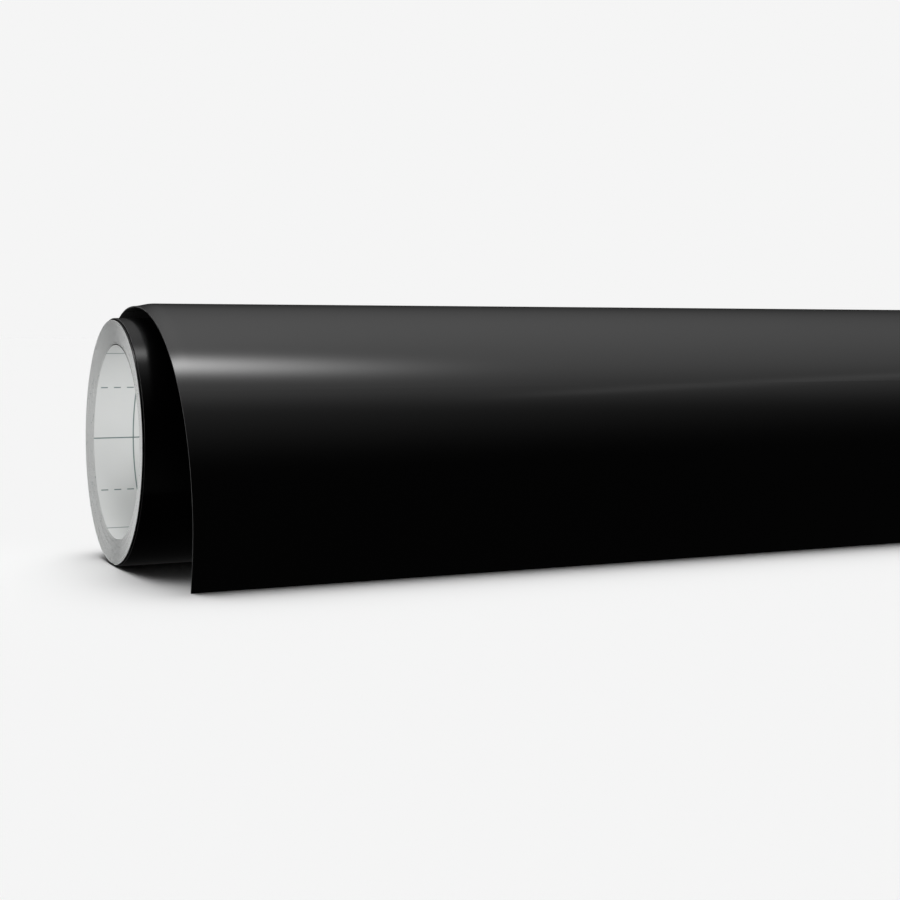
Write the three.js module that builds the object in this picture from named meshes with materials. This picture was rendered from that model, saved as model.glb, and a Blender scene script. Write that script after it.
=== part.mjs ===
// A coreless roll of sign vinyl: gloss film on a paper release liner, wound with the film outwards.
// The last turns have sprung loose. One is a little slack and set back along the roll. The one over it
// has opened into a wide curl that arches forward and stands on its cut end in front of the roll.
// Frame: millimetres, +X along the roll, +Y to its rear, +Z up. The origin is on the resting surface,
// under the middle of the object's box. Angles are in degrees, from the rear (+Y) towards the top (+Z).
import * as THREE from "three";

// The web: a film with its adhesive on a release liner, cut to a standard width.
const WEB_WIDTH = 305;
const FILM = 0.08;
const LINER = 0.15;
const AIR = 0.01; // left between any two layers that lie on each other
const PITCH = FILM + LINER + 2 * AIR; // what one turn adds to the radius

// The wound roll.
const BORE_RADIUS = 21.5;
const TURNS = 22;
const FACETS = 36; // in each turn
const FACET_ANGLE = 360 / FACETS;
const TURN_START = -90 - FACET_ANGLE / 2; // every turn starts here, so that its first facet lies flat
const OUTER_RADIUS = BORE_RADIUS + PITCH * TURNS;
const BORE_SAG = 0.45; // the innermost turn hangs this far below the next one at the top
const SAGGING_TURNS = 2.2;
const DISHING = 0.8; // the innermost turn has slipped this far into the roll's left end

// The slack turn and the loose wrap over it.
const SLACK_RISE = 0.15; // at its highest
const SLACK_RISE_ANGLE = 100; // where that is
const SLACK_RISE_POWER = 6; // how quickly it lies down again on both sides
const SLACK_SETBACK = 0.5; // along X, from the roll's end
const WRAP_SETBACK = 5.3;
const WRAP_RADIUS = OUTER_RADIUS + 2 * PITCH + AIR; // under the roll, where the whole object rests
const CENTRE_HEIGHT = WRAP_RADIUS;

// The curl: an arc about a centre in front of and below the roll's own, then a flatter foot.
const CURL_RADIUS = 45;
const CURL_FORWARD = 1.5;
const CURL_DROP = 14.8; // of its centre below the roll's centre
const CURL_START = 84.2; // where the web leaves the roll's shape
const HINGE_ANGLES = [92, 126, 160]; // the curl opens and closes about lines at these angles
const FOOT_START = 180;
const FOOT_RADIUS = 54;
const CURL_STEP = 8; // degrees, at most, for one facet of the curl
const END_GAP = 0.3; // between the ends of two stretches of the same web

// The object's box is centred on the origin.
const ROLL_X = -(WEB_WIDTH + WRAP_SETBACK) / 2; // the roll's left end
const FRONT_REACH = CURL_FORWARD + CURL_RADIUS; // from the roll's axis to the curl's front
const REAR_REACH = 28.94; // from the roll's axis to the back of the loose wrap
const AXIS_Y = (FRONT_REACH - REAR_REACH) / 2;

const FILM_FINISH = { color: 0x08080a, roughness: 0.18, metalness: 0 };
const LINER_FINISH = { color: 0xd6d9d8, roughness: 0.6, metalness: 0 };

const radians = THREE.MathUtils.degToRad;

// How near an angle is to the top of the roll, from 0 at the bottom to 1 at the top.
function topness(angle) {
  return (1 + Math.sin(radians(angle))) / 2;
}

// A point on the film's outer face, with the way out of the roll there. Facets touch the true round.
function pointAbout(centreY, centreZ, radius, angle, facetAngle) {
  const out = new THREE.Vector2(Math.cos(radians(angle)), Math.sin(radians(angle)));
  const corner = 1 / Math.cos(radians(facetAngle / 2));
  const place = out.clone().multiplyScalar(radius * corner);
  return { place: place.add(new THREE.Vector2(centreY, centreZ)), out, corner };
}

// The film's outer radius on the wound roll, after a number of turns from the inner end.
function woundRadius(turns, angle) {
  const sagging = Math.max(0, 1 - turns / SAGGING_TURNS);
  return BORE_RADIUS + PITCH * (turns + 1) - BORE_SAG * sagging ** 2 * topness(angle) ** 2;
}

function woundLine(firstTurn, lastTurn) {
  const line = [];
  for (let facet = (firstTurn - 1) * FACETS; facet <= lastTurn * FACETS; facet++) {
    const turns = facet / FACETS;
    const angle = TURN_START + 360 * turns;
    line.push(pointAbout(AXIS_Y, CENTRE_HEIGHT, woundRadius(turns - 1, angle), angle, FACET_ANGLE));
  }
  return line;
}

function slackLine() {
  const line = [];
  for (let facet = 0; facet <= FACETS; facet++) {
    const angle = TURN_START + FACET_ANGLE * facet;
    const nearness = Math.cos(radians(angle - SLACK_RISE_ANGLE) / 2) ** 2;
    const rise = SLACK_RISE * nearness ** SLACK_RISE_POWER;
    const radius = OUTER_RADIUS + PITCH * (1 + facet / FACETS) + rise;
    line.push(pointAbout(AXIS_Y, CENTRE_HEIGHT, radius, angle, FACET_ANGLE));
  }
  return line;
}

const CURL_Y = AXIS_Y - CURL_FORWARD;
const CURL_Z = CENTRE_HEIGHT - CURL_DROP;

// Points along an arc of the curl, in equal steps.
function arcLine(centreY, centreZ, radius, from, to) {
  const steps = Math.ceil((to - from) / CURL_STEP);
  const line = [];
  for (let i = 0; i <= steps; i++) {
    line.push(pointAbout(centreY, centreZ, radius, from + ((to - from) * i) / steps, 0));
  }
  return line;
}

function curlLine(from, to) {
  return arcLine(CURL_Y, CURL_Z, CURL_RADIUS, from, to);
}

// From under the roll, round its back, to the curl's first hinge line.
function wrapLine() {
  const flat = TURN_START + FACET_ANGLE; // the facet that the roll rests on ends here
  const joinRadius = Math.hypot(
    CURL_RADIUS * Math.cos(radians(CURL_START)) - CURL_FORWARD,
    CURL_RADIUS * Math.sin(radians(CURL_START)) - CURL_DROP,
  );
  const line = [];
  for (let angle = TURN_START; angle < CURL_START - FACET_ANGLE / 2; angle += FACET_ANGLE) {
    const share = Math.max(0, (angle - flat) / (CURL_START - flat));
    const radius = THREE.MathUtils.lerp(WRAP_RADIUS, joinRadius, share ** 2 * (3 - 2 * share));
    line.push(pointAbout(AXIS_Y, CENTRE_HEIGHT, radius, angle, FACET_ANGLE));
  }
  return line.concat(curlLine(CURL_START, HINGE_ANGLES[0]));
}

function footLine() {
  const centreY = CURL_Y - CURL_RADIUS + FOOT_RADIUS;
  const end = 180 + THREE.MathUtils.radToDeg(Math.asin(CURL_Z / FOOT_RADIUS));
  const foot = arcLine(centreY, CURL_Z, FOOT_RADIUS, FOOT_START, end);
  return curlLine(HINGE_ANGLES[2], FOOT_START).concat(foot.slice(1));
}

// One layer of the web along a line: a strip between two depths under the film's outer face.
function layerShape(line, outerDepth, innerDepth) {
  const under = (point, depth) =>
    point.place.clone().addScaledVector(point.out, -depth * point.corner);
  const outer = line.map((point) => under(point, outerDepth));
  const inner = line.map((point) => under(point, innerDepth));
  for (const edge of [outer, inner]) {
    edge[0].lerp(edge[1], END_GAP / edge[0].distanceTo(edge[1]));
  }
  return new THREE.Shape([...outer, ...inner.reverse()]);
}

// A section in the Y-Z plane, stretched along X over the web's width.
function layerMesh(name, shape, left, finish) {
  const geometry = new THREE.ExtrudeGeometry(shape, { depth: WEB_WIDTH, bevelEnabled: false });
  const mesh = new THREE.Mesh(geometry, new THREE.MeshStandardMaterial(finish));
  mesh.name = name;
  const [x, y, z] = [0, 1, 2].map((i) => new THREE.Vector3().setComponent(i, 1));
  mesh.quaternion.setFromRotationMatrix(new THREE.Matrix4().makeBasis(y, z, x));
  mesh.position.x = left;
  return mesh;
}

// A stretch of the web: its film, and its liner inside it.
function stretch(name, line, left) {
  const group = new THREE.Group();
  const linerDepth = FILM + AIR;
  group.add(
    layerMesh(`${name}_film`, layerShape(line, 0, FILM), left, FILM_FINISH),
    layerMesh(`${name}_liner`, layerShape(line, linerDepth, linerDepth + LINER), left, LINER_FINISH),
  );
  return group;
}

// A stretch of the tight roll, slipped along X by its share of the dishing.
function woundStretch(name, first, last) {
  const outwards = (first + last) / 2 / TURNS;
  return stretch(name, woundLine(first, last), ROLL_X + DISHING * (1 - outwards));
}

function woundRoll() {
  const group = new THREE.Group();
  group.add(woundStretch("bore_turn", 1, 1));
  for (const [first, last] of [[2, 6], [7, 11], [12, 16], [17, 21]]) {
    const turns = [first, last].map((turn) => String(turn).padStart(2, "0")).join("_");
    group.add(woundStretch(`turns_${turns}`, first, last));
  }
  group.add(woundStretch("outer_turn", TURNS, TURNS));
  return group;
}

function looseWrap() {
  const left = ROLL_X + WRAP_SETBACK;
  const group = new THREE.Group();
  group.add(
    stretch("loose_wrap", wrapLine(), left),
    stretch("curl_upper", curlLine(HINGE_ANGLES[0], HINGE_ANGLES[1]), left),
    stretch("curl_middle", curlLine(HINGE_ANGLES[1], HINGE_ANGLES[2]), left),
    stretch("curl_foot", footLine(), left),
  );
  return group;
}

const roll = new THREE.Group();
roll.add(woundRoll(), stretch("slack_turn", slackLine(), ROLL_X + SLACK_SETBACK), looseWrap());

export default roll;
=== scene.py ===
import math

import bmesh
import bpy
import numpy as np
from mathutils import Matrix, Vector


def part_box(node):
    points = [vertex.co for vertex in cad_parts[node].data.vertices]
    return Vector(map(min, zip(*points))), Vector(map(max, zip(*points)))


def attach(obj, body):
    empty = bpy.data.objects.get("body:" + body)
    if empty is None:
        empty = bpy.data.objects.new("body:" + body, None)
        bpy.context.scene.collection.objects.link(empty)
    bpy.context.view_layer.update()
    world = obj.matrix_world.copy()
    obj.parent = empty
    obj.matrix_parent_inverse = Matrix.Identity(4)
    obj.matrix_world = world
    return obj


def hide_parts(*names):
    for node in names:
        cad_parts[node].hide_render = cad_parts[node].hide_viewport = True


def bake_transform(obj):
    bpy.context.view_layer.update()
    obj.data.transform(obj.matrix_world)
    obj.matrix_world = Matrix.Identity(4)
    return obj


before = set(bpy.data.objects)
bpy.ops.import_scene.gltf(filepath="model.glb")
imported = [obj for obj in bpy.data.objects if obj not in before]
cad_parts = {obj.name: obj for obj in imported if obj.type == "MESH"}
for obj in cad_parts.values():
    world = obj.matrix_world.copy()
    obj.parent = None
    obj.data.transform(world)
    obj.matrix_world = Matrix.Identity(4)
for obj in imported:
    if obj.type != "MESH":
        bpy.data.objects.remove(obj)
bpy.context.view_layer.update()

# ---- Sizes, in metres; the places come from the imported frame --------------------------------

MM = 0.001
FILM = 0.08 * MM
LINER = 0.15 * MM
AIR = 0.01 * MM  # between any two layers that lie on each other
PITCH = FILM + LINER + 2 * AIR  # what one turn adds to the radius
BORE_RADIUS = 21.5 * MM
TURNS = 22
OUTER_RADIUS = BORE_RADIUS + PITCH * TURNS
TURN_START = -95.0  # degrees from the rear towards the top, where every turn begins
BORE_SAG = 0.45 * MM  # how far the innermost turn hangs away from the next at the top
SAGGING_TURNS = 2.2
DISHING = 0.8 * MM  # how far the innermost turn has slipped into the roll's end
EDGE_WANDER = 0.04 * MM  # how far the turns' edges wander from that slope

SLACK_RISE = 0.15 * MM  # of the slack turn, at its highest
SLACK_RISE_ANGLE = 100.0  # where that is
SLACK_RISE_POWER = 6  # how quickly it lies down again on both sides
WRAP_RADIUS = OUTER_RADIUS + 2 * PITCH + AIR  # under the roll, where the whole object rests
CURL_RADIUS = 45 * MM
CURL_FORWARD = 1.5 * MM
CURL_DROP = 14.8 * MM  # of its centre below the roll's centre
CURL_START = 84.2  # where the web leaves the roll's shape
HINGE_ANGLES = (92.0, 126.0, 160.0)  # the curl opens and closes about lines here
FOOT_START = 180.0  # where the curl goes over into its flatter foot
FOOT_RADIUS = 54 * MM
BEND_REACH = 17.0  # degrees each side of a hinge line; no piece here is made to bend over this reach
SKEW = 0.0087 * MM  # the loose wrap lies nearer the end by this, for each degree back from its foot
CROWN_LIFT = 0.62 * MM  # the crown springs this much higher away from the web's edges
CROWN_ANGLE = 96.0  # where that is
CROWN_SHARPNESS = 70  # how quickly it lies down again on both sides
EDGE_REACH = 4 * MM  # how far in from the web's edges it rises

GRID_PITCH = 25.4 * MM  # solid lines on the liner; dashed ones run half way between
GRID_FROM_EDGE = 9.3 * MM  # the first line along the web's edge
GRID_LINE = 0.28 * MM  # a line's width
GRID_ANGLE = -1.5  # a solid line of the grid lies here on the bore's wall
DASH_PITCH = 3.05 * MM
DASH_START = 0.85 * MM  # from the web's edge
DASH_SHARE = 0.53  # of its pitch that a dash fills

roll_low, roll_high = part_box("outer_turn_film")
ROLL_LEFT = roll_low.x
WEB_WIDTH = roll_high.x - roll_low.x
slack_low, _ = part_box("slack_turn_film")
wrap_low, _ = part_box("loose_wrap_film")
SLACK_LEFT, WRAP_LEFT = slack_low.x, wrap_low.x
foot_low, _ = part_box("curl_foot_film")
AXIS_Y = foot_low.y + CURL_FORWARD + CURL_RADIUS
AXIS_Z = WRAP_RADIUS
CURL_Y = AXIS_Y - CURL_FORWARD
CURL_Z = AXIS_Z - CURL_DROP


# ---- Node trees as expressions --------------------------------------------------------------

class Flow:
    """A socket of a node tree. Arithmetic on it adds the tree's Math nodes."""

    def __init__(self, tree, socket):
        self.tree, self.socket = tree, socket

    def math(self, operation, *others):
        numbers = (self, *others)
        inputs = {i: number for i, number in enumerate(numbers)}
        return self.tree.add("ShaderNodeMath", {"operation": operation}, inputs)

    def __add__(self, other):
        return self.math("ADD", other)

    def __radd__(self, other):
        return self.math("ADD", other)

    def __sub__(self, other):
        return self.math("SUBTRACT", other)

    def __rsub__(self, other):
        return (self * -1.0).math("ADD", other)

    def __mul__(self, other):
        return self.math("MULTIPLY", other)

    def __rmul__(self, other):
        return self.math("MULTIPLY", other)

    def __truediv__(self, other):
        return self.math("DIVIDE", other)

    def __pow__(self, other):
        return self.math("POWER", other)

    def clamped(self):
        return self.math("MAXIMUM", 0.0).math("MINIMUM", 1.0)

    def eased(self, low, high):
        """0 below low, 1 above high, and a smooth step between them. Low may be above high."""
        share = ((self - low) / (high - low)).clamped()
        return share * share * (3.0 - 2.0 * share)


class Tree:
    """A node tree, with one method that adds any node."""

    def __init__(self, nodes):
        self.nodes = nodes

    def add(self, kind, settings=None, inputs=None, output=0):
        node = self.nodes.nodes.new(kind)
        for name, value in (settings or {}).items():
            if name == "stops":
                self.set_stops(node.color_ramp, value)
            else:
                setattr(node, name, value)
        for name, value in (inputs or {}).items():
            if isinstance(value, Flow):
                self.nodes.links.new(value.socket, node.inputs[name])
            else:
                node.inputs[name].default_value = value
        return Flow(self, node.outputs[output]) if node.outputs else None

    @staticmethod
    def set_stops(ramp, stops):
        while len(ramp.elements) < len(stops):
            ramp.elements.new(1.0)
        for element, (place, colour) in zip(ramp.elements, stops):
            element.position, element.color = place, colour


# ---- Materials ------------------------------------------------------------------------------

def new_material(name):
    material = bpy.data.materials.new(name)
    material.use_nodes = True
    material.node_tree.nodes.clear()
    return material, Tree(material.node_tree)


def finish_material(tree, inputs):
    shader = tree.add("ShaderNodeBsdfPrincipled", {}, inputs)
    tree.add("ShaderNodeOutputMaterial", {}, {"Surface": shader})


def gloss_film(name, smoothness, gloss):
    """Black calendered film with faint rolling marks and handling haze."""
    material, tree = new_material(name)
    place = tree.add("ShaderNodeTexCoord", {}, {}, 3)
    along = tree.add("ShaderNodeMapping", {}, {"Vector": place, "Scale": (6.0, 40.0, 40.0)})
    haze = tree.add("ShaderNodeTexNoise", {}, {"Vector": along, "Scale": 2.2, "Detail": 4.0})
    peel = tree.add("ShaderNodeTexNoise", {}, {"Vector": place, "Scale": 900.0, "Detail": 2.0})
    swell = tree.add("ShaderNodeTexNoise", {}, {"Vector": along, "Scale": 0.9, "Detail": 1.0})
    height = swell + peel * 0.02
    bump = tree.add("ShaderNodeBump", {}, {"Height": height, "Strength": 0.25, "Distance": 0.00025})
    tone = tree.add(
        "ShaderNodeValToRGB",
        {"stops": [(0.35, (0.0009, 0.0009, 0.001, 1)), (0.7, (0.0016, 0.0016, 0.0018, 1))]},
        {"Fac": haze},
    )
    finish_material(tree, {
        "Base Color": tone,
        "Roughness": smoothness + haze * 0.05,
        "IOR": 1.5,
        "Specular IOR Level": gloss,
        "Normal": bump,
    })
    return material


def printed_line(tree, distance, half_width):
    """1 on a printed line that lies at distance 0, and 0 beyond its soft edge."""
    return distance.math("ABSOLUTE").eased(half_width * 1.25, half_width * 0.75)


def offset_from(flow, start, pitch):
    """How far a place is from the nearest of the lines at start and every pitch after it."""
    return (flow - start + pitch / 2).math("FLOORED_MODULO", pitch) - pitch / 2


def release_liner():
    """White silicone-coated paper with a grey-green cutting grid, on the web's own coordinates."""
    material, tree = new_material("printed_release_liner")
    across = tree.add("ShaderNodeUVMap", {"uv_map": "UVMap"}, {})
    split = tree.add("ShaderNodeSeparateXYZ", {}, {"Vector": across})
    x, s = split, Flow(tree, split.socket.node.outputs[1])
    half = GRID_LINE / 2
    solid = printed_line(tree, offset_from(x, GRID_FROM_EDGE, GRID_PITCH), half).math(
        "MAXIMUM", printed_line(tree, offset_from(s, 0.0, GRID_PITCH), half))
    dash_x = ((x - DASH_START) / DASH_PITCH).math("FRACT").math("LESS_THAN", DASH_SHARE)
    dash_s = (s / DASH_PITCH).math("FRACT").math("LESS_THAN", DASH_SHARE)
    middle = GRID_PITCH / 2
    along_web = printed_line(tree, offset_from(x, GRID_FROM_EDGE + middle, GRID_PITCH), half)
    across_web = printed_line(tree, offset_from(s, middle, GRID_PITCH), half)
    dashed = (along_web * dash_s).math("MAXIMUM", across_web * dash_x)
    place = tree.add("ShaderNodeTexCoord", {}, {}, 3)
    fibre = tree.add("ShaderNodeTexNoise", {}, {"Vector": place, "Scale": 700.0, "Detail": 5.0})
    cloud = tree.add("ShaderNodeTexNoise", {}, {"Vector": place, "Scale": 55.0, "Detail": 2.0})
    ink = solid.math("MAXIMUM", dashed) * (0.78 + 0.2 * fibre)
    paper = tree.add(
        "ShaderNodeValToRGB",
        {"stops": [(0.3, (0.83, 0.845, 0.835, 1)), (0.7, (0.87, 0.88, 0.872, 1))]},
        {"Fac": cloud},
    )
    colour = tree.add("ShaderNodeMix", {"data_type": "RGBA"},
                      {0: ink, 6: paper, 7: (0.10, 0.17, 0.165, 1)}, output=2)
    bump = tree.add("ShaderNodeBump", {}, {"Height": fibre, "Strength": 0.2, "Distance": 0.00003})
    finish_material(tree, {
        "Base Color": colour,
        "Roughness": 0.5 + 0.12 * cloud,
        "IOR": 1.4,
        "Normal": bump,
    })
    return material


def trimmed_edge_with_painted_shade():
    """The web's cut edge on a loose stretch: pale paper fibres smeared with black film, the grey
    darkened further as painted shade.
    """
    material, tree = new_material("trimmed_web_edge_with_painted_shade")
    place = tree.add("ShaderNodeTexCoord", {}, {}, 3)
    smear = tree.add("ShaderNodeTexNoise", {}, {"Vector": place, "Scale": 400.0, "Detail": 3.0})
    # The grey is partly the black film mixed into the cut and partly painted shade.
    tone = tree.add(
        "ShaderNodeValToRGB",
        {"stops": [(0.35, (0.42, 0.42, 0.42, 1)), (0.7, (0.66, 0.66, 0.66, 1))]},
        {"Fac": smear},
    )
    finish_material(tree, {"Base Color": tone, "Roughness": 0.6 + 0.1 * smear})
    return material


FILM_MATERIAL = gloss_film("gloss_black_film", smoothness=0.09, gloss=0.5)
# The tight and slack turns' film has its gloss turned down as painted shade, so it mirrors little in
# the dark gap under the wrap.
SHADE_DIMMED_FILM_MATERIAL = gloss_film("film_gloss_dimmed_as_painted_shade", smoothness=0.16, gloss=0.14)
LINER_MATERIAL = release_liner()
SHADED_EDGE_MATERIAL = trimmed_edge_with_painted_shade()

# Each layer's depth under the film's outer face, its thickness, and the seed of its edge's wander.
LAYERS = {"film": (0.0, FILM, 0.0), "liner": (FILM + AIR, LINER, 5.3)}
# The loose stretches keep the film's full gloss; the tight and slack turns get the film whose gloss is
# dimmed as painted shade.
OPEN_FINISH = {"film": FILM_MATERIAL, "liner": LINER_MATERIAL}
SHADE_DIMMED_FINISH = {"film": SHADE_DIMMED_FILM_MATERIAL, "liner": LINER_MATERIAL}


# ---- The tight turns, one spiral layer at a time --------------------------------------------

STEPS_PER_TURN = 160
SPIRAL_INPUTS = ("First turn", "Turn count", "Depth", "Thickness", "Left", "Seed")


def spiral_tree():
    """Geometry nodes that wind a flat bar into a layer of the web: film or liner, for some turns."""
    nodes = bpy.data.node_groups.new("wound_layer", "GeometryNodeTree")
    for name in SPIRAL_INPUTS:
        nodes.interface.new_socket(name, in_out="INPUT", socket_type="NodeSocketFloat")
    nodes.interface.new_socket("Steps", in_out="INPUT", socket_type="NodeSocketInt")
    nodes.interface.new_socket("Finish", in_out="INPUT", socket_type="NodeSocketMaterial")
    nodes.interface.new_socket("Geometry", in_out="OUTPUT", socket_type="NodeSocketGeometry")
    tree = Tree(nodes)
    source = nodes.nodes.new("NodeGroupInput")
    given = {socket.name: Flow(tree, socket) for socket in source.outputs if socket.name}

    bar = tree.add("GeometryNodeMeshCube", {}, {"Size": (1.0, 1.0, 1.0), "Vertices X": 2,
                                                 "Vertices Y": given["Steps"], "Vertices Z": 2})
    position = tree.add("GeometryNodeInputPosition")
    share = tree.add("ShaderNodeSeparateXYZ", {}, {"Vector": position})
    across = share + 0.5
    along = Flow(tree, share.socket.node.outputs[1]) + 0.5
    inward = Flow(tree, share.socket.node.outputs[2]) + 0.5

    turns = given["First turn"] - 1.0 + along * given["Turn count"]
    angle = turns * math.tau + math.radians(TURN_START)
    topness = (angle.math("SINE") + 1.0) / 2.0
    sagging = (1.0 - turns / SAGGING_TURNS).math("MAXIMUM", 0.0)
    sag = BORE_SAG * (sagging * sagging) * (topness * topness)
    depth = given["Depth"] + inward * given["Thickness"]
    radius = BORE_RADIUS + PITCH * (turns + 1.0) - sag - depth

    slow = tree.add("ShaderNodeTexNoise", {"noise_dimensions": "1D"}, {"W": turns * 1.7, "Scale": 1.0})
    quick = tree.add("ShaderNodeTexNoise", {"noise_dimensions": "1D"},
                     {"W": turns * 11.0 + given["Seed"], "Scale": 1.0})
    wander = EDGE_WANDER * (2.0 * (slow - 0.5) + 0.35 * (quick - 0.5))
    dish = DISHING * (1.0 - turns / float(TURNS))
    x = given["Left"] + across * WEB_WIDTH + dish + wander

    place = tree.add("ShaderNodeCombineXYZ", {}, {"X": x, "Y": radius * angle.math("COSINE") + AXIS_Y,
                                                   "Z": radius * angle.math("SINE") + AXIS_Z})
    length = math.tau * (BORE_RADIUS * turns + PITCH / 2 * turns * turns)
    chart = tree.add("ShaderNodeCombineXYZ", {}, {"X": across * WEB_WIDTH, "Y": length - GRID_PHASE})
    charted = tree.add("GeometryNodeStoreNamedAttribute", {"data_type": "FLOAT2", "domain": "CORNER"},
                       {"Geometry": bar, "Name": "UVMap", "Value": chart})
    wound = tree.add("GeometryNodeSetPosition", {}, {"Geometry": charted, "Position": place})
    real = tree.add("GeometryNodeRealizeInstances", {}, {"Geometry": wound})
    finished = tree.add("GeometryNodeSetMaterial", {}, {"Geometry": real, "Material": given["Finish"]})
    tree.add("NodeGroupOutput", {}, {"Geometry": finished})
    return nodes


# The web's length from its inner end to the solid line of the grid at GRID_ANGLE.
GRID_TURN = (GRID_ANGLE - TURN_START) / 360
GRID_PHASE = math.tau * (BORE_RADIUS * GRID_TURN + PITCH / 2 * GRID_TURN**2)
SPIRAL = spiral_tree()


def smooth_sides(mesh):
    mesh.polygons.foreach_set("use_smooth", [True] * len(mesh.polygons))
    mesh.set_sharp_from_angle(angle=math.radians(30))


def wound_layer(name, first, last, layer):
    """A layer of some of the tight roll's turns, as an object of its own."""
    depth, thickness, seed = LAYERS[layer]
    carrier = bpy.data.objects.new(name + "_carrier", bpy.data.meshes.new(name + "_carrier"))
    bpy.context.scene.collection.objects.link(carrier)
    modifier = carrier.modifiers.new("wound_layer", "NODES")
    modifier.node_group = SPIRAL
    count = last - first + 1
    values = {
        "First turn": float(first), "Turn count": float(count), "Depth": depth, "Thickness": thickness,
        "Left": ROLL_LEFT, "Seed": seed,
        "Steps": STEPS_PER_TURN * count + 1,
        "Finish": SHADE_DIMMED_FINISH[layer],
    }
    for item in SPIRAL.interface.items_tree:
        if item.in_out == "INPUT":
            modifier[item.identifier] = values[item.name]
    depsgraph = bpy.context.evaluated_depsgraph_get()
    mesh = bpy.data.meshes.new_from_object(carrier.evaluated_get(depsgraph), depsgraph=depsgraph)
    bpy.data.objects.remove(carrier)
    piece = bpy.data.objects.new(name, mesh)
    bpy.context.scene.collection.objects.link(piece)
    smooth_sides(mesh)
    return piece


# ---- The loose stretches, from the same lines as the frame's --------------------------------

class Line:
    """Points on the film's outer face in the Y-Z plane, with the way out and the web's length there."""

    def __init__(self, points, outs):
        self.points, self.outs = np.array(points), np.array(outs)
        steps = np.hypot(*np.diff(self.points, axis=0).T)
        self.lengths = np.concatenate([[0.0], np.cumsum(steps)])


def about(centre_y, centre_z, radii, angles):
    outs = np.stack([np.cos(np.radians(angles)), np.sin(np.radians(angles))], 1)
    return np.array([centre_y, centre_z]) + outs * np.reshape(radii, (-1, 1)), outs


def degrees_between(low, high, step=1.0):
    return np.linspace(low, high, max(2, int(round((high - low) / step)) + 1))


def curl_points(low, high):
    """The curl from one angle to another: its main arc, then the flatter foot down to the table."""
    angles = degrees_between(low, min(high, FOOT_START))
    points, outs = about(CURL_Y, CURL_Z, CURL_RADIUS, angles)
    if high > FOOT_START:
        end = 180 + math.degrees(math.asin(CURL_Z / FOOT_RADIUS))
        more, more_outs = about(CURL_Y - CURL_RADIUS + FOOT_RADIUS, CURL_Z, FOOT_RADIUS,
                                degrees_between(FOOT_START, end))
        points, outs = np.vstack([points, more[1:]]), np.vstack([outs, more_outs[1:]])
    return points, outs


def slack_line():
    angles = degrees_between(TURN_START, TURN_START + 359.4)
    nearness = np.cos(np.radians(angles - SLACK_RISE_ANGLE) / 2) ** 2
    rise = SLACK_RISE * nearness**SLACK_RISE_POWER
    radii = OUTER_RADIUS + PITCH * (1 + (angles - TURN_START) / 360) + rise
    points, outs = about(AXIS_Y, AXIS_Z, radii, angles)
    return Line(points, outs)


def wrap_line(end):
    """From under the roll, round its back, to an angle on the curl."""
    join = math.hypot(CURL_RADIUS * math.cos(math.radians(CURL_START)) - CURL_FORWARD,
                      CURL_RADIUS * math.sin(math.radians(CURL_START)) - CURL_DROP)
    flat = TURN_START + 10
    angles = degrees_between(TURN_START, min(CURL_START, end))
    share = np.clip((angles - flat) / (CURL_START - flat), 0, 1)
    radii = WRAP_RADIUS + (join - WRAP_RADIUS) * share**2 * (3 - 2 * share)
    points, outs = about(AXIS_Y, AXIS_Z, radii, angles)
    if end > CURL_START:
        more, more_outs = curl_points(CURL_START, end)
        points, outs = np.vstack([points, more[1:]]), np.vstack([outs, more_outs[1:]])
    return Line(points, outs)


def crown_line(low, high):
    """The last of the wrap and the first of the curl, from where wrap_line(low) ends."""
    before, whole = wrap_line(low), wrap_line(high)
    first = len(before.points) - 1
    points, outs = whole.points[first:].copy(), whole.outs[first:].copy()
    points[0], outs[0] = before.points[-1], before.outs[-1]
    return Line(points, outs)


def smooth_step(share):
    share = min(max(share, 0.0), 1.0)
    return share * share * (3 - 2 * share)


def spring(x, angle):
    """How far the sprung web stands out of its line, at a place across it and an angle round it."""
    from_edge = min(x, WEB_WIDTH - x)
    inboard = smooth_step(from_edge / EDGE_REACH)
    crown = max(0.0, math.cos(math.radians(angle - CROWN_ANGLE) / 2)) ** CROWN_SHARPNESS
    return CROWN_LIFT * inboard * crown


def skew(angle):
    """How far along the roll the loose wrap has crept towards its end, at an angle round it."""
    return -SKEW * max(0.0, FOOT_START - angle)


def angle_of(out):
    """The angle of a way out of the web, from its lowest at the start of a turn upwards."""
    angle = math.degrees(math.atan2(out[1], out[0]))
    return angle if angle > TURN_START - 1 else angle + 360


EDGE_STEPS = 8  # over EDGE_REACH at each edge of the web
MIDDLE_STEPS = 48


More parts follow.
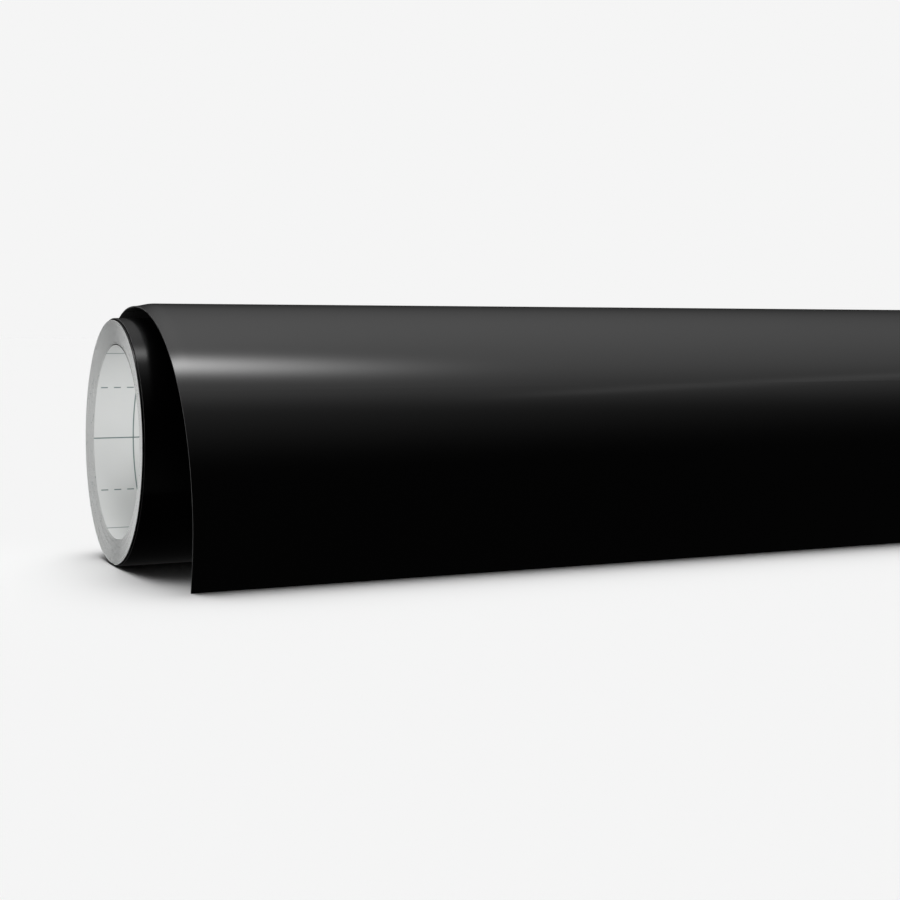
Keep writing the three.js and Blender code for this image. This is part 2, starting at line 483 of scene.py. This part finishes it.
def web_layer(name, line, left, layer, start_length, finish, sprung):
    """A stretch of film or liner as a closed thin solid, charted in metres across and along the web."""
    depth, thickness, _ = LAYERS[layer]
    near = np.linspace(0, EDGE_REACH, EDGE_STEPS + 1)
    middle = np.linspace(EDGE_REACH, WEB_WIDTH - EDGE_REACH, MIDDLE_STEPS + 1)
    xs = np.concatenate([near, middle[1:], WEB_WIDTH - near[-2::-1]])
    mesh = bmesh.new()
    chart = mesh.loops.layers.uv.new("UVMap")
    charted = {}
    rows = []
    for under in (depth, depth + thickness):
        side = []
        for point, out, length in zip(line.points, line.outs, line.lengths + start_length):
            y, z = point - out * under
            angle = angle_of(out)
            row = []
            for x in xs:
                lift = spring(x, angle) if sprung else 0.0
                place = left + x + (skew(angle) if sprung else 0.0)
                vertex = mesh.verts.new((place, y + out[0] * lift, z + out[1] * lift))
                charted[vertex] = (x, length - GRID_PHASE)
                row.append(vertex)
            side.append(row)
        rows.append(side)
    outer, inner = rows
    last, edge = len(line.points) - 1, len(xs) - 1

    def face(*corners, trimmed=False):
        made = mesh.faces.new(corners)
        made.smooth = True
        made.material_index = int(trimmed)
        for loop in made.loops:
            loop[chart].uv = charted[loop.vert]

    for i in range(last):
        for j in range(edge):
            face(outer[i][j], outer[i][j + 1], outer[i + 1][j + 1], outer[i + 1][j])
            face(inner[i][j], inner[i + 1][j], inner[i + 1][j + 1], inner[i][j + 1])
        face(outer[i][0], outer[i + 1][0], inner[i + 1][0], inner[i][0], trimmed=True)
        face(outer[i][edge], inner[i][edge], inner[i + 1][edge], outer[i + 1][edge], trimmed=True)
    for j in range(edge):
        face(outer[0][j], inner[0][j], inner[0][j + 1], outer[0][j + 1])
        face(outer[last][j], outer[last][j + 1], inner[last][j + 1], inner[last][j])
    bmesh.ops.recalc_face_normals(mesh, faces=mesh.faces)
    data = bpy.data.meshes.new(name)
    mesh.to_mesh(data)
    mesh.free()
    data.materials.append(finish)
    data.materials.append(SHADED_EDGE_MATERIAL)
    smooth_sides(data)
    piece = bpy.data.objects.new(name, data)
    bpy.context.scene.collection.objects.link(piece)
    return piece


# ---- The whole object -----------------------------------------------------------------------

def build_wound_roll():
    """The tight turns, which it returns."""
    pieces = []
    stretches = {"bore_turn": (1, 1), "turns_02_06": (2, 6), "turns_07_11": (7, 11),
                 "turns_12_16": (12, 16), "turns_17_21": (17, 21), "outer_turn": (22, 22)}
    for stretch, (first, last) in stretches.items():
        for layer in LAYERS:
            piece = wound_layer(f"wound_{stretch}_{layer}", first, last, layer)
            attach(piece, "wound_roll")
            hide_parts(f"{stretch}_{layer}")
            pieces.append(piece)
    return pieces


def build_slack_turn():
    for layer in LAYERS:
        finish = SHADE_DIMMED_FINISH[layer]
        piece = web_layer(f"slack_{layer}", slack_line(), SLACK_LEFT, layer, 0.0, finish, sprung=False)
        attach(piece, "slack_turn")
        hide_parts(f"slack_turn_{layer}")


def on_curl(angle):
    """A point on the web's middle, at an angle on the curl."""
    points, _ = about(CURL_Y, CURL_Z, CURL_RADIUS - PITCH / 2, [angle])
    return (0.0, points[0][0], points[0][1])


def build_loose_wrap():
    """The web runs on unbroken in four pieces, each meeting the next at a seam; the first rides the
    loose wrap, the others stay where they are built.
    """
    first, second, third = HINGE_ANGLES
    seams = [CURL_START - 0.5, (first + second) / 2, (second + third) / 2]
    lines = [
        wrap_line(seams[0]),
        crown_line(seams[0], seams[1]),
        Line(*curl_points(seams[1], seams[2])),
        Line(*curl_points(seams[2], 360.0)),
    ]
    plans = [
        ("loose_wrap", None, None, "loose_wrap"),
        ("curl_crown", ("loose_wrap", "curl_upper"), first, "curl_upper"),
        ("curl_front", ("curl_upper", "curl_middle"), second, "curl_middle"),
        ("curl_foot", ("curl_middle", "curl_foot"), third, "curl_foot"),
    ]
    start = 0.0
    for line, (name, bodies, hinge, node) in zip(lines, plans):
        for layer in LAYERS:
            finish = OPEN_FINISH[layer]
            piece = web_layer(f"{name}_{layer}_web", line, WRAP_LEFT, layer, start, finish, sprung=True)
            if bodies:
                on_curl(hinge - BEND_REACH)
                on_curl(hinge + BEND_REACH)
                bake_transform(piece)
            else:
                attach(piece, "loose_wrap")
            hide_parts(f"{node}_{layer}")
        start += line.lengths[-1]


# ---- Studio ---------------------------------------------------------------------------------

PALE = 0.913  # of the background and the open floor


def build_floor():
    mesh = bpy.data.meshes.new("studio_floor")
    reach = 30.0
    corners = [(-reach, -reach, 0), (reach, -reach, 0), (reach, reach, 0), (-reach, reach, 0)]
    mesh.from_pydata(corners, [], [(0, 1, 2, 3)])
    material, tree = new_material("studio_floor")
    shader = tree.add("ShaderNodeBsdfDiffuse", {}, {"Color": (PALE, PALE, PALE, 1)})
    tree.add("ShaderNodeOutputMaterial", {}, {"Surface": shader})
    mesh.materials.append(material)
    floor = bpy.data.objects.new("studio_floor", mesh)
    bpy.context.scene.collection.objects.link(floor)
    floor.visible_glossy = False
    floor.visible_diffuse = False  # the web's back stays in deep shade


# The soft light on everything that isn't a mirror: a key from above and a little behind, and a fill.
# Together they light the open floor to exactly its own paleness.
KEY_WAY = Vector((0.0, 0.30, 0.95)).normalized()
KEY_FOCUS = 18.0
FILL = 0.04
KEY = (1.0 - FILL) * (KEY_FOCUS + 2.0) / 2.0 / KEY_WAY.z

STRIP = 6.6  # how bright the gloss sees the strip
STREAK = 0.33
WALLS = 0.024


def bell(offset):
    """1 at no offset, and falling off smoothly on both sides."""
    return (offset ** 2.0 * -1.0).math("EXPONENT")


def build_sky():
    """A pale room to the camera, soft light from above, and a dark room with a ceiling in the gloss."""
    world = bpy.data.worlds.new("studio")
    bpy.context.scene.world = world
    world.use_nodes = True
    world.node_tree.nodes.clear()
    tree = Tree(world.node_tree)
    way = tree.add("ShaderNodeTexCoord", {}, {}, 0)
    split = tree.add("ShaderNodeSeparateXYZ", {}, {"Vector": way})
    dx, dy, dz = (Flow(tree, split.socket.node.outputs[i]) for i in range(3))

    # The gloss sees a ceiling that falls off towards the front, a bright strip near overhead that fades
    # towards the roll's far end, and a faint slanting streak beyond it.
    ceiling = 1.22 * dz.math("MAXIMUM", 0.0001) ** 2.6
    in_front = 0.60 * ((dz - 0.33) / 0.52).math("MAXIMUM", 0.0001) ** 2.1
    in_front = in_front * (1.0 - 0.5 * dy.eased(-0.3, -0.53))
    room = ceiling + (in_front - ceiling) * dy.eased(0.0, -0.4)
    beyond = dx - 0.28
    strip_side = bell((dy + 0.01 + 0.45 * beyond) / 0.10)
    strip_reach = (beyond / -0.085).math("EXPONENT").math("MINIMUM", 1.3) * beyond.eased(0.2, 0.02)
    strip = STRIP * strip_side * strip_reach * dx.eased(-0.6, -0.4) * dz.eased(0.5, 0.8)
    slant = bell((dy + 0.555 - 0.98 * beyond) / 0.025)
    gloss = room + strip + STREAK * slant * beyond.eased(0.14, 0.24) + WALLS

    key = dx * KEY_WAY[0] + dy * KEY_WAY[1] + dz * KEY_WAY[2]
    soft = FILL + KEY * key.math("MAXIMUM", 0.0001) ** KEY_FOCUS

    kind = tree.add("ShaderNodeLightPath")
    is_camera, is_glossy = kind, Flow(tree, kind.socket.node.outputs["Is Glossy Ray"])
    strength = is_camera * PALE + (1.0 - is_camera) * (is_glossy * gloss + (1.0 - is_glossy) * soft)
    light = tree.add("ShaderNodeBackground", {}, {"Color": (1, 1, 1, 1), "Strength": strength})
    tree.add("ShaderNodeOutputWorld", {}, {"Surface": light})


def build_end_lights(pieces):
    """Two soft lights on the tight roll alone: by its open end, and for what a floor throws back."""
    lit = bpy.data.collections.new("lit_by_end_lights")
    for piece in pieces:
        lit.objects.link(piece)
    for name, power, height in (("end_light", 2.6, 0.12), ("low_light", 4.0, -0.45)):
        data = bpy.data.lights.new(name, "AREA")
        data.energy, data.size = power, 0.5
        light = bpy.data.objects.new(name, data)
        bpy.context.scene.collection.objects.link(light)
        light.location = Vector((ROLL_LEFT - 0.50, AXIS_Y - 0.60, AXIS_Z + height))
        towards = Vector((ROLL_LEFT, AXIS_Y, AXIS_Z)) - light.location
        light.rotation_euler = towards.to_track_quat("-Z", "Y").to_euler()
        light.visible_glossy = False
        light.light_linking.receiver_collection = lit
        light.light_linking.blocker_collection = lit


def build_camera():
    """A short telephoto from in front and to the left, just above the roll's middle."""
    data = bpy.data.cameras.new("camera")
    data.sensor_width = 36.0
    data.lens = 63.01
    data.shift_y = -0.144
    camera = bpy.data.objects.new("camera", data)
    bpy.context.scene.collection.objects.link(camera)
    camera.location = Vector((ROLL_LEFT - 81.3 * MM, AXIS_Y - 349.45 * MM, 51.18 * MM))
    yaw, pitch = 0.4399, 0.0094
    ahead = Vector((math.sin(yaw) * math.cos(pitch), math.cos(yaw) * math.cos(pitch), math.sin(pitch)))
    camera.rotation_euler = ahead.to_track_quat("-Z", "Y").to_euler()
    data.clip_start, data.clip_end = 0.01, 100.0
    bpy.context.scene.camera = camera
    bpy.context.scene.view_settings.view_transform = "Standard"


build_camera()
build_floor()
build_sky()
build_end_lights(build_wound_roll())
build_slack_turn()
build_loose_wrap()
